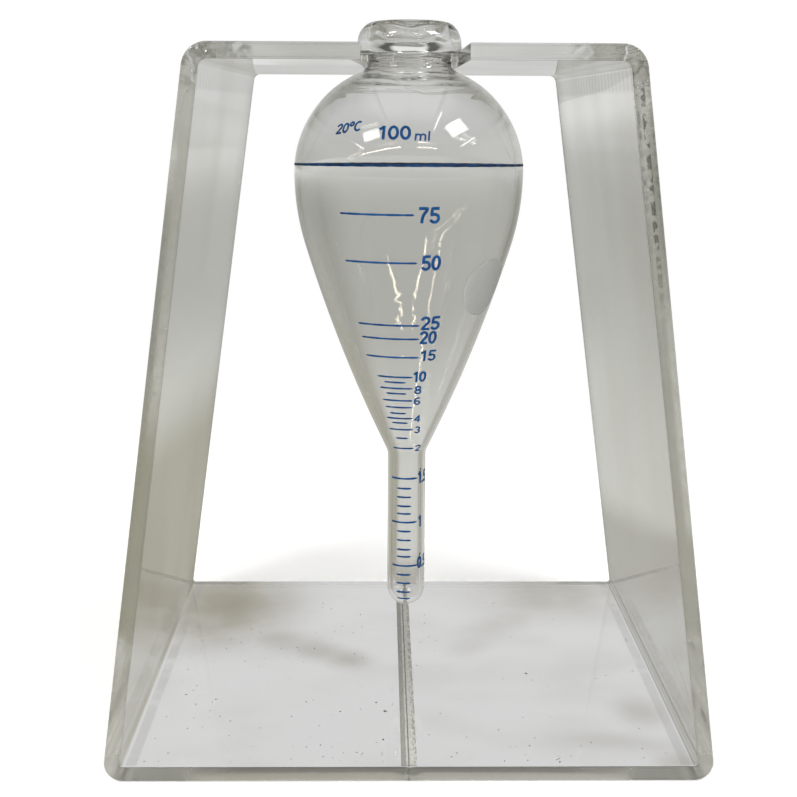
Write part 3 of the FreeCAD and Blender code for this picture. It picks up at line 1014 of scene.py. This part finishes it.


# sawn and scraped ends of the sheet: even, a little matt, buckled where bent at the top, with painted light and shade
def makeSawnEdge(wearAndShade, buckled=False):
    material, tree, place, side = startMaterial("buckled_edge_acrylic" if buckled else "scraped_edge_acrylic")
    sawn = ramp(tree, noise(tree, place, 700.0, 1.0), 0.3, 0.8)
    patch = ramp(tree, noise(tree, place, 60.0, 1.0), 0.35, 0.7)
    plate = ramp(tree, side["Z"], 161 * mm, 163 * mm)
    base = ramp(tree, side["Z"], 5 * mm, 3 * mm)
    worn = maths(tree, "MULTIPLY_ADD", maths(tree, "MAXIMUM", plate, base), -0.8, 1.0)
    # painted light: the cut faces are lighter along the top plate and the base than down the sides, and darker on the
    # top plate's left half
    litEdgeTone = blend(tree, plate, blend(tree, base, "#E6E6DF", "#F2F1EC"), "#FDFDFC")
    tone = blend(tree, times(tree, sawn, worn, 0.30), litEdgeTone, "#D0CFC7")
    tone = blend(tree, times(tree, plate, ramp(tree, side["X"], 0.004, -0.004)), tone, "#E4E4E1")
    tone = blend(tree, times(tree, patch, worn, 0.25), tone, "#C9C7BB")
    across = addNode(tree, "ShaderNodeAttribute", attribute_name="across").outputs["Fac"]
    for low, high, strength in wearAndShade["sawLines"]:
        line = maths(tree, "SUBTRACT", ramp(tree, across, low - 0.03, low + 0.03),
                     ramp(tree, across, high - 0.03, high + 0.03))
        tone = blend(tree, times(tree, line, maths(tree, "MULTIPLY_ADD", patch, 0.7, 0.3), strength), tone, "#7C7B74")

    # fine dark chips down the upper part of the right edge, and the joint's dark line at the base
    stipple = times(tree, ramp(tree, noise(tree, place, 650.0, 1.0), 0.44, 0.54), ramp(tree, across, 0.34, 0.42),
                    ramp(tree, across, 0.70, 0.62), ramp(tree, side["Z"], 100 * mm, 130 * mm),
                    ramp(tree, side["Z"], 159 * mm, 157 * mm), ramp(tree, side["X"], 0.0, 0.01))
    tone = blend(tree, times(tree, stipple, 0.9), tone, "#4E4B46")
    joint = times(tree, band(tree, side["X"], -0.3, 0.05, 0.08), ramp(tree, side["Z"], 4 * mm, 3.4 * mm))
    tone = blend(tree, times(tree, joint, 0.7), tone, "#4A4A46")
    outward = maths(tree, "ABSOLUTE", side["X"])
    scuffed = times(tree, ramp(tree, outward, 46 * mm, 56 * mm), ramp(tree, side["Z"], 8 * mm, 5 * mm))
    rough = maths(tree, "ADD", maths(tree, "MULTIPLY_ADD", scuffed, 0.32, 0.08), times(tree, sawn, worn, 0.12))
    if not buckled:
        finishSheet(tree, tone, rough)
        return material
    high = ramp(tree, side["Z"], 155.5 * mm, 159 * mm)
    bend = times(tree, high, ramp(tree, outward, 40.5 * mm, 44 * mm))
    swell = noise(tree, place, 330.0, 1.0, (1, 0.2, 1))
    buckleShadeAndRelief = ramp(tree, swell, 0.40, 0.60)
    buckleShadeLine = maths(tree, "SUBTRACT", ramp(tree, swell, 0.52, 0.55), ramp(tree, swell, 0.58, 0.61))
    # painted shade in the buckles at the top bends: darker patches and thin dark arcs
    tone = blend(tree, times(tree, bend, buckleShadeAndRelief, 0.2), tone, "#8C8A83")
    tone = blend(tree, times(tree, bend, buckleShadeLine, 0.6), tone, "#5F5D58")
    relief = times(tree, bend, buckleShadeAndRelief, 3.0)
    finishSheet(tree, tone, rough, relief)
    return material


# acrylic cement that set in the joint: clear and glossy, a little milky, with runs along it
def makeCement():
    material, tree, place, side = startMaterial("set_acrylic_cement")
    speckle = ramp(tree, noise(tree, place, 2400.0, 2.0, (1, 0.35, 1)), 0.35, 0.7)
    left = band(tree, side["X"], -2.1, -0.75, 0.15)
    right = band(tree, side["X"], 0.9, 1.8, 0.2)
    joint = band(tree, side["X"], -0.3, 0.0, 0.08)
    tone = blend(tree, speckle, "#ECECE8", "#D4D4CF")
    tone = blend(tree, times(tree, left, 0.6), tone, "#8A8A84")
    tone = blend(tree, times(tree, right, speckle, 0.55), tone, "#94948F")
    tone = blend(tree, times(tree, joint, 0.75), tone, "#50504D")
    bump = addNode(tree, "ShaderNodeBump", {"Strength": 0.3, "Distance": 0.0001}, {"Height": speckle})
    finishMaterial(tree, {"Roughness": 0.22, "IOR": 1.48, "Transmission Weight": 0.35},
                   {"Base Color": tone, "Normal": bump.outputs[0]})
    return material


# bench grit: dark, dusty and dead matt
def makeGritDust():
    material, tree = newMaterial("dark_bench_grit")
    place = addNode(tree, "ShaderNodeTexCoord").outputs["Object"]
    tone = blend(tree, ramp(tree, noise(tree, place, 120.0), 0.35, 0.65), "#2A2826", "#5E584F")
    finishMaterial(tree, {"Roughness": 0.9}, {"Base Color": tone})
    return material


# blue glass enamel, screen printed and fired: matt, slightly uneven in depth
def makeInk(name, thin, full):
    material, tree = newMaterial(name)
    place = addNode(tree, "ShaderNodeTexCoord").outputs["Object"]
    tone = blend(tree, ramp(tree, noise(tree, place, 700.0), 0.3, 0.7), thin, full)
    finishMaterial(tree, {"Roughness": 0.5, "Specular IOR Level": 0.25}, {"Base Color": tone})
    return material


# grey enamel ground to take a pencil: dead matt with a fine tooth
def makePatchEnamel():
    material, tree = newMaterial("matt_grey_enamel")
    place = addNode(tree, "ShaderNodeTexCoord").outputs["Object"]
    grain = noise(tree, place, 1600.0, 3.0)
    tone = blend(tree, grain, "#C0C3C2", "#CFD1D0")
    bump = addNode(tree, "ShaderNodeBump", {"Strength": 0.3, "Distance": 0.00002}, {"Height": grain})
    finishMaterial(tree, {"Roughness": 0.85, "Specular IOR Level": 0.2},
                   {"Base Color": tone, "Normal": bump.outputs[0]})
    return material


makeTube(tubeShape, makeGlass())
print("tube turned")
makeSheet(sheetShape, [
    makeSheetSides(sheetWearAndShade), makeSheetBase(sheetWearAndShade), makeSawnEdge(sheetWearAndShade), makeSawnEdge(sheetWearAndShade, True)])
makeCementBead(cementBead, makeCement())
print("sheet stand bent and joined")
makeScale(scaleMarks, makeInk("fired_blue_enamel", "#0F5A9C", "#0B4684"),
          makeInk("fired_dark_blue_enamel", "#14487F", "#0A2850"))
makePatch(patchShape, makePatchEnamel())
makeGrit(gritShape, makeGritDust())
print("scale printed, grit strewn")
